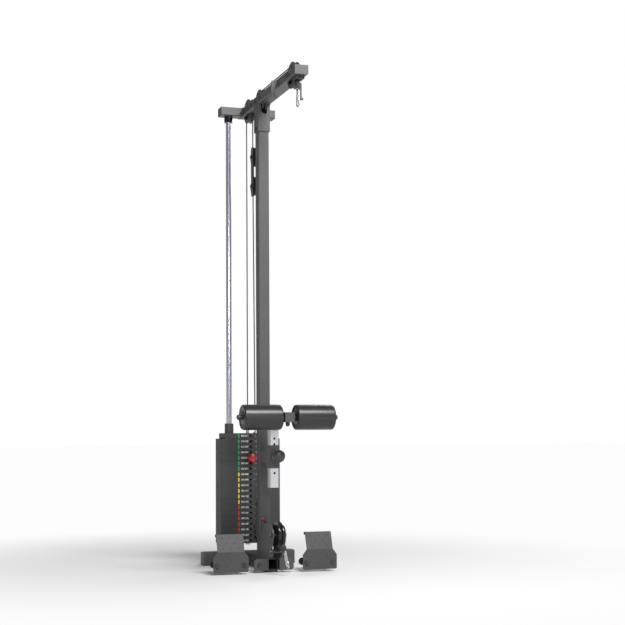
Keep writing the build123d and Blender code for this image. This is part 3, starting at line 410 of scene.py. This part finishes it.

# %% [markdown]
# ## Cable runs that change length
# When the stack rises, one run gets shorter and the lat run gets longer.  A CAD tube can
# only be one length, so these runs are straight tubes made here; the lower runs and the
# stack's run ride on the frame, and the others stay where they are built.


# %% A straight run of cable
def straight_run(name, ends, radius=0.00275):
    work = bmesh.new()
    for start, end in ends:
        start, end = Vector(start), Vector(end)
        steps = max(6, int((end - start).length / 0.04))
        add_tube(work, [start.lerp(end, i / steps) for i in range(steps + 1)], radius)
    piece = finish_mesh(name, work, cable_jacket)
    return piece


lat_low, lat_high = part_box("lat_cable_drop")
lat_y = (lat_low[1] + lat_high[1]) / 2
lat_run = straight_run("lat_run", [((0, lat_y, lat_high[2]), (0, lat_y, lat_low[2]))])
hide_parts("lat_cable_drop")
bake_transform(lat_run)

# %% Runs above and below the floating pulleys
cable_radius = 0.00275
upper_low, upper_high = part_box("block_upper_runs")
front_run_y = upper_low[1] + cable_radius
rear_run_y = upper_high[1] - cable_radius
upper_runs = straight_run("floating_upper_runs", [
    ((0, y, upper_high[2]), (0, y, upper_low[2])) for y in (front_run_y, rear_run_y)])
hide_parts("block_upper_runs")
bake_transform(upper_runs)

lower_low, lower_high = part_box("block_lower_runs")
anchor_low, anchor_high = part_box("base_pulley_cheeks")
anchor_spot = (0, lower_low[1] + cable_radius, anchor_high[2] - 0.009)
base_spot = (0, -0.125, lower_low[2])
for name, start, end in (
        ("floating_lower_front_run", anchor_spot, (0, front_run_y, lower_high[2])),
        ("floating_lower_rear_run", base_spot, (0, rear_run_y, lower_high[2]))):
    run = straight_run(name, [(start, end)])
    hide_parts("block_lower_runs")
    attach(run, "frame")
    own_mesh(run)

# %% The stack's run and the low hook's run
stack_low, stack_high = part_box("stack_cable_run")
stack_run = straight_run("stack_run", [((0, 0, stack_high[2]), (0, 0, stack_low[2]))])
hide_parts("stack_cable_run")
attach(stack_run, "frame")
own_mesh(stack_run)

low_cable_low, low_cable_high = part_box("low_cable_fixed")
ball_low, ball_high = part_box("low_ball_stop")
wheel_low, wheel_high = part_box("low_pulley")
low_z = low_cable_low[2] + cable_radius
wheel_y = (wheel_low[1] + wheel_high[1]) / 2
ball_back = ball_high[1]
low_run = straight_run("low_hook_run", [((0, wheel_y, low_z), (0, ball_back - 0.004, low_z))],
                       radius=cable_radius + 0.0001)
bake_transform(low_run)

# %% [markdown]
# ## Foam rollers
# Each roller is a thick foam tube in a vinyl skin, pulled in a little at both ends over a
# plastic end disc.  A turned profile gives the soft shoulders; a few slow waves from a
# seeded random keep the skin from looking machined.  The foam is firm, so it needs no cloth
# simulation.

# %% Roller skins
roller_wave = random.Random(7)


def make_roller(name, node, body):
    low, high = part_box(node)
    middle = Vector([(a + b) / 2 for a, b in zip(low, high)])
    half = (high[0] - low[0]) / 2
    radius = (high[2] - low[2]) / 2
    shoulder = 0.006
    profile = [(-half + 0.005, 0.0108), (-half + 0.005, radius - 0.0095),
               (-half + 0.002, radius - 0.0085)]
    for k in range(9):
        a = math.pi / 2 * k / 8
        profile.append((-half + 0.0004 + shoulder * (1 - math.cos(a)),
                        radius - 0.0006 - shoulder * (1 - math.sin(a))))
    steps = 24
    for k in range(1, steps):
        x = -half + shoulder + (2 * half - 2 * shoulder) * k / steps
        crown = 0.0005 * (1 - (x / half) ** 2)
        profile.append((x, radius - 0.0006 + crown))
    profile += [(-x, r) for x, r in reversed(profile[:12])]
    work = bmesh.new()
    add_turned(work, profile, middle, (1, 0, 0), sides=96)
    waves = [(roller_wave.uniform(8, 40), roller_wave.randint(1, 5),
              roller_wave.uniform(0, 6.28)) for _ in range(5)]
    for vertex in work.verts:
        arm = vertex.co - middle
        arm.x = 0
        if arm.length < radius * 0.85:
            continue
        turn = math.atan2(arm.z, arm.y)
        swell = sum(math.sin(f * (vertex.co.x - middle.x) * 3 + n * turn + p)
                    for f, n, p in waves) / 5
        vertex.co += arm.normalized() * (-0.00015 + 0.00015 * swell)
    piece = finish_mesh(name, work, roller_vinyl)
    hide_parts(node)
    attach(piece, body)
    return middle, half, radius


roller_sizes = {}
for side in ("left", "right"):
    roller_sizes[side] = make_roller(f"{side}_roller_skin", f"foam_roller_{side}",
                                     f"{side}_roller")
    print(side, "roller", [round(v, 3) for v in roller_sizes[side][0]])

# %% End discs of the rollers
for side, (middle, half, radius) in roller_sizes.items():
    work = bmesh.new()
    for end in (-1, 1):
        disc = [(0.0, 0.011), (0.0, 0.0435), (0.0012, 0.0442), (0.0026, 0.0435),
                (0.0026, 0.041), (0.0012, 0.0395), (0.0012, 0.024), (0.0026, 0.0225),
                (0.0032, 0.0165), (0.0032, 0.011)]
        add_turned(work, disc, middle + Vector((end * (half - 0.0045), 0, 0)),
                   (end, 0, 0), sides=64)
    discs = finish_mesh(f"{side}_roller_discs", work, dark_steel)
    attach(discs, f"{side}_roller")
print("end discs made")

# %% [markdown]
# ## Weights on the plates
# Each plate carries a colour bar, its weight as a number, and a small row number.  Text
# curves give clean numerals; they are turned into one thin mesh for each moving body, so
# that the marks of the lifted plates go up with them.

# %% Places of the rows
plates_low, plates_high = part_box("weight_plates_resting")
head_low, head_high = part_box("head_plate")
plate_pitch = head_high[2] - head_low[2]
face_y = head_low[1]
row_count = 20
lifted_rows = 5
row_z = {row: head_high[2] - (row - 0.5) * plate_pitch for row in range(1, row_count + 1)}
ink_lift = 0.00012


def add_text(mesh_work, words, x, z, size):
    """Adds words as a thin mesh that faces the user, its left end at x."""
    font = bpy.data.curves.new("words", "FONT")
    font.body = words
    font.size = size
    font.extrude = 0.00006
    font.offset = 0.00022
    font.align_y = "CENTER"
    holder = bpy.data.objects.new("words", font)
    scene.collection.objects.link(holder)
    bpy.context.view_layer.update()
    mesh = bpy.data.meshes.new_from_object(holder.evaluated_get(
        bpy.context.evaluated_depsgraph_get()))
    stand = Matrix.Translation((x, face_y - ink_lift, z)) @ Matrix.Rotation(math.pi / 2, 4, "X")
    mesh.transform(stand)
    mesh_work.from_mesh(mesh)
    bpy.data.objects.remove(holder)
    bpy.data.meshes.remove(mesh)


def add_block(mesh_work, low, high):
    """A box between two corners."""
    corners = [mesh_work.verts.new((x, y, z)) for x in (low[0], high[0])
               for y in (low[1], high[1]) for z in (low[2], high[2])]
    for face in ((0, 1, 3, 2), (4, 6, 7, 5), (0, 4, 5, 1), (2, 3, 7, 6), (0, 2, 6, 4),
                 (1, 5, 7, 3)):
        mesh_work.faces.new([corners[k] for k in face])


# %% Numerals and colour bars
bar_inks = {"green": (green_ink, range(1, 8)), "yellow": (yellow_ink, range(8, 14)),
            "red": (red_ink, range(14, 21))}
for body, first, last in (("stack", 1, lifted_rows), ("frame", lifted_rows + 1, row_count)):
    rows = range(first, last + 1)
    work = bmesh.new()
    for row in rows:
        add_text(work, f"{5 * row:03d} {11 * row:03d}", -0.046, row_z[row], 0.0105)
        add_text(work, f"{row:02d}", 0.0185, row_z[row], 0.0085)
    numerals = finish_mesh(f"plate_numerals_{body}", work, white_ink, smooth=False)
    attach(numerals, body)
    for colour, (ink, span) in bar_inks.items():
        marked = [row for row in rows if row in span]
        if not marked:
            continue
        work = bmesh.new()
        for row in marked:
            add_block(work, (-0.061, face_y - ink_lift, row_z[row] - 0.0085),
                      (-0.0545, face_y + 0.0001, row_z[row] + 0.0085))
        bars = finish_mesh(f"{colour}_bars_{body}", work, ink, smooth=False)
        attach(bars, body)
    print(body, "rows", first, "to", last)

# %% [markdown]
# ## Tread pattern of the foot plates
# Tread plate is rolled with small raised lozenges in alternating directions.  A bump would
# look flat from the side, so each lozenge is a low boat shape of real height, set on the
# upright face and on the face that leans back.


# %% Lozenges
def add_lozenge(mesh_work, centre, along, across, out, length=0.018, width=0.0046, height=0.0011):
    centre = Vector(centre)
    points = [centre + along * (a * length / 2) + across * (b * width / 2) + out * (c * height)
              for a, b, c in ((-1, 0, -0.2), (-0.5, 0.8, -0.2), (0.5, 0.8, -0.2), (1, 0, -0.2),
                              (0.5, -0.8, -0.2), (-0.5, -0.8, -0.2), (-0.55, 0, 1), (0.55, 0, 1))]
    v = [mesh_work.verts.new(p) for p in points]
    for face in ((0, 1, 6), (1, 2, 7, 6), (2, 3, 7), (3, 4, 7), (4, 5, 6, 7), (5, 0, 6),
                 (5, 4, 3, 2, 1, 0)):
        mesh_work.faces.new([v[k] for k in face])


def lozenge_rows(mesh_work, origin, right, up, width_at, height, clear=()):
    """Fills a face with lozenges; width_at gives its half width at a height."""
    out = right.cross(up)
    step, pitch = 0.023, 0.036
    rows = int((height - 0.016) / step) + 1
    start = (height - (rows - 1) * step) / 2
    for r in range(rows):
        z = start + r * step
        half = width_at(z) - 0.010
        shift = pitch / 2 * (r % 2)
        turn = math.radians(45 if r % 2 else -45)
        along = right * math.cos(turn) + up * math.sin(turn)
        count = int(half / pitch) + 1
        for c in range(-count, count + 1):
            x = c * pitch + shift
            if abs(x) > half or any((x - a) ** 2 + (z - b) ** 2 < 0.02 ** 2 for a, b in clear):
                continue
            add_lozenge(mesh_work, origin + right * x + up * z, along, out.cross(along), out)


plate_low, plate_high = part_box("foot_plates")
plate_half_width = 0.0785
neck_half_width = 0.060
plate_centre_x = plate_high[0] - plate_half_width
bend_z, shoulder_z = 0.097, 0.074
lean = 0.024
work = bmesh.new()
for side in (-1, 1):
    base = Vector((side * plate_centre_x, plate_low[1], plate_low[2]))

    def plate_width(z):
        past = z + plate_low[2] - shoulder_z
        return plate_half_width if past < 0 else neck_half_width + (0.023 - past) * 0.8

    lozenge_rows(work, base, Vector((1, 0, 0)), Vector((0, 0, 1)), plate_width,
                 bend_z - plate_low[2], clear=((-0.06, 0.03), (0.06, 0.03)))
    slope = Vector((0, lean, plate_high[2] - bend_z))
    lozenge_rows(work, Vector((side * plate_centre_x, plate_low[1], bend_z)),
                 Vector((1, 0, 0)), slope.normalized(), lambda z: neck_half_width, slope.length)
tread = finish_mesh("foot_plate_tread", work, tread_plate, smooth=False)
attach(tread, "frame")
print("tread faces", len(tread.data.polygons))

# %% [markdown]
# ## Weld beads
# The tubes of the frame are welded, and every weld leaves a narrow rippled bead in the
# corner.  A tube with a ring every two millimetres, each second one swollen, reads as a
# weld from close up.


# %% Beads
def bead_points(corners, closed):
    """Evenly spaced points along straight runs between corners."""
    corners = [Vector(c) for c in corners]
    ends = corners[1:] + ([corners[0]] if closed else [])
    points = []
    for start, end in zip(corners, ends):
        steps = max(2, int((end - start).length / 0.002))
        points += [start.lerp(end, k / steps) for k in range(steps)]
    return points if closed else points + [corners[-1]]


def square(x0, x1, y0, y1, z0, z1):
    """Corners of a rectangle in the plane where its low and high place are the same."""
    if x0 == x1:
        return [(x0, y0, z0), (x0, y1, z0), (x0, y1, z1), (x0, y0, z1)]
    if y0 == y1:
        return [(x0, y0, z0), (x1, y0, z0), (x1, y0, z1), (x0, y0, z1)]
    return [(x0, y0, z0), (x1, y0, z0), (x1, y1, z0), (x0, y1, z0)]


tower_low, tower_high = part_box("tower")
sleeve_low, sleeve_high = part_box("tower_sleeve")
arm_low, arm_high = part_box("top_arm")
beam_low, beam_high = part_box("top_crossbeam")
base_low, base_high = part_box("base_tube")
leg_low, leg_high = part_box("leg_sleeve")
leg_mid = (leg_low[2] + leg_high[2]) / 2
bead = 0.0022
work = bmesh.new()
loops = [
    square(tower_low[0], tower_high[0], tower_low[1], tower_high[1], tower_low[2], tower_low[2]),
    square(base_low[0], base_high[0], base_high[1], base_high[1], base_low[2], base_high[2]),
    square(-0.020, 0.020, tower_low[1], tower_low[1], leg_mid - 0.030, leg_mid + 0.030),
    square(-0.020, 0.020, leg_low[1] + 0.048, leg_low[1] + 0.048, leg_mid - 0.030,
           leg_mid + 0.030),
]
for side in (-1, 1):
    loops.append(square(side * 0.030, side * 0.030, beam_low[1], beam_high[1], beam_low[2],
                        beam_high[2]))
for corners in loops:
    add_tube(work, bead_points(corners, True), bead, sides=6, ripple=0.25, closed=True)
for side in (-1, 1):
    edge = side * sleeve_high[0]
    add_tube(work, bead_points([(edge, sleeve_low[1], sleeve_high[2]),
                                (edge, sleeve_high[1], sleeve_high[2])], False),
             bead, sides=6, ripple=0.25)
beads = finish_mesh("weld_beads", work, powder_coat)
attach(beads, "frame")
print("weld beads", len(loops) + 2)

# %% [markdown]
# ## Small parts
# The red selector knob has a dark plug in its face, the spare pin a red head, and each end
# cap of the foot beam a pair of moulded slots, drawn as dark patches of painted shade.  They
# are small, but they catch the eye because they stand alone against plain faces.

# %% Knob plug and spare pin head
knob_low, knob_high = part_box("selector_knob")
knob_z = (knob_low[2] + knob_high[2]) / 2
work = bmesh.new()
add_turned(work, [(-0.002, 0.0062), (0.0004, 0.0062), (0.0008, 0.0056), (0.0004, 0.0035),
                  (-0.0004, 0.0030)], (0, knob_low[1], knob_z), (0, -1, 0), sides=32)
plug = finish_mesh("selector_knob_plug", work, black_rubber)
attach(plug, "pin")
work = bmesh.new()
spare_low, spare_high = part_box("parked_pin")
head_top = spare_high[2]
add_turned(work, [(-0.0115, 0.0056), (-0.0112, 0.0064), (-0.001, 0.0064), (0.0, 0.0056)],
           (-0.013, tower_low[1] - 0.006, head_top), (0, 0, 1), sides=32)
spare_head = finish_mesh("spare_pin_head", work, red_plastic)
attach(spare_head, "frame")

# %% Painted shade of the slots in the foot beam's caps
beam_cap_x = 0.218
# Painted shade: the slots are not cut; thin dark boxes sit on each cap face where the shade
# inside a slot falls.
work = bmesh.new()
for side in (-1, 1):
    for y in (-0.012, 0.012):
        inner, outer = side * (beam_cap_x - 0.001), side * (beam_cap_x + 0.0002)
        add_block(work, (min(inner, outer), y - 0.0025, 0.022),
                  (max(inner, outer), y + 0.0025, 0.040))
slot_shade_patches = finish_mesh("cap_slot_painted_shade", work, black_plastic, smooth=False)
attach(slot_shade_patches, "frame")
print("small parts made")

# %% [markdown]
# ## Studio
# A pale floor and a white surround keep the dark machine readable.  The floor turns to
# plain white a few steps away, so that no horizon cuts the picture.  A wide light high in
# front gives the front faces their grey and a narrow strip puts the highlight along the
# rollers.  Polished metal shows its surroundings, so a weak panel stands low at the side
# for the post to mirror, and a last light draws the edges from behind.

# %% Floor and surround
pale_floor = make_finish("pale_floor", (0.80, 0.80, 0.80), (0.82, 0.82, 0.82), (0.7, 0.8),
                         grain=(40.0, 0.0), tone_scale=0.5)
work = bmesh.new()
bmesh.ops.create_grid(work, x_segments=1, y_segments=1, size=40)
tree = pale_floor.node_tree
spot = tree.nodes.new("ShaderNodeTexCoord")
reach = tree.nodes.new("ShaderNodeVectorMath")
reach.operation = "LENGTH"
fade = tree.nodes.new("ShaderNodeMapRange")
fade.interpolation_type = "SMOOTHSTEP"
white_from, white_beyond = 0.4, 2.2
fade.inputs["From Min"].default_value = white_from
fade.inputs["From Max"].default_value = white_beyond
far_white = tree.nodes.new("ShaderNodeEmission")
far_white.inputs["Strength"].default_value = 0.98
blend = tree.nodes.new("ShaderNodeMixShader")
tree.links.new(spot.outputs["Object"], reach.inputs[0])
tree.links.new(reach.outputs["Value"], fade.inputs["Value"])
tree.links.new(fade.outputs["Result"], blend.inputs["Fac"])
tree.links.new(tree.nodes["Principled BSDF"].outputs["BSDF"], blend.inputs[1])
tree.links.new(far_white.outputs["Emission"], blend.inputs[2])
tree.links.new(blend.outputs["Shader"], tree.nodes["Material Output"].inputs["Surface"])
floor = finish_mesh("studio_floor", work, pale_floor)

world = bpy.data.worlds.new("white_surround")
scene.world = world
world.use_nodes = True
backdrop = world.node_tree.nodes["Background"]
backdrop.inputs["Color"].default_value = (1.0, 1.0, 1.0, 1)
seen = world.node_tree.nodes.new("ShaderNodeLightPath")
strength = world.node_tree.nodes.new("ShaderNodeMapRange")
surround_fill = 0.27
strength.inputs["To Min"].default_value = surround_fill
strength.inputs["To Max"].default_value = 1.0
world.node_tree.links.new(seen.outputs["Is Camera Ray"], strength.inputs["Value"])
world.node_tree.links.new(strength.outputs["Result"], backdrop.inputs["Strength"])


# %% Lights
def soft_light(name, place, aim, size, power):
    lamp = bpy.data.lights.new(name, "AREA")
    lamp.shape = "RECTANGLE"
    lamp.size, lamp.size_y = size
    lamp.energy = power
    holder = bpy.data.objects.new(name, lamp)
    scene.collection.objects.link(holder)
    holder.location = place
    holder.rotation_euler = (Vector(aim) - Vector(place)).to_track_quat("-Z", "Y").to_euler()


soft_light("key_light", (0.9, -3.6, 4.2), (0, -0.2, 1.1), (2.4, 1.4), 235)
soft_light("low_strip", (-0.5, -4.4, 1.75), (0, -0.4, 0.7), (2.4, 0.16), 42)
soft_light("chrome_panel", (1.9, -5.4, 0.5), (0, -0.1, 0.5), (1.8, 1.0), 7)
soft_light("rim_light", (2.4, 2.6, 3.0), (0, 0, 1.1), (1.6, 1.2), 40)
scene.view_settings.view_transform = "Standard"
print("lights set")
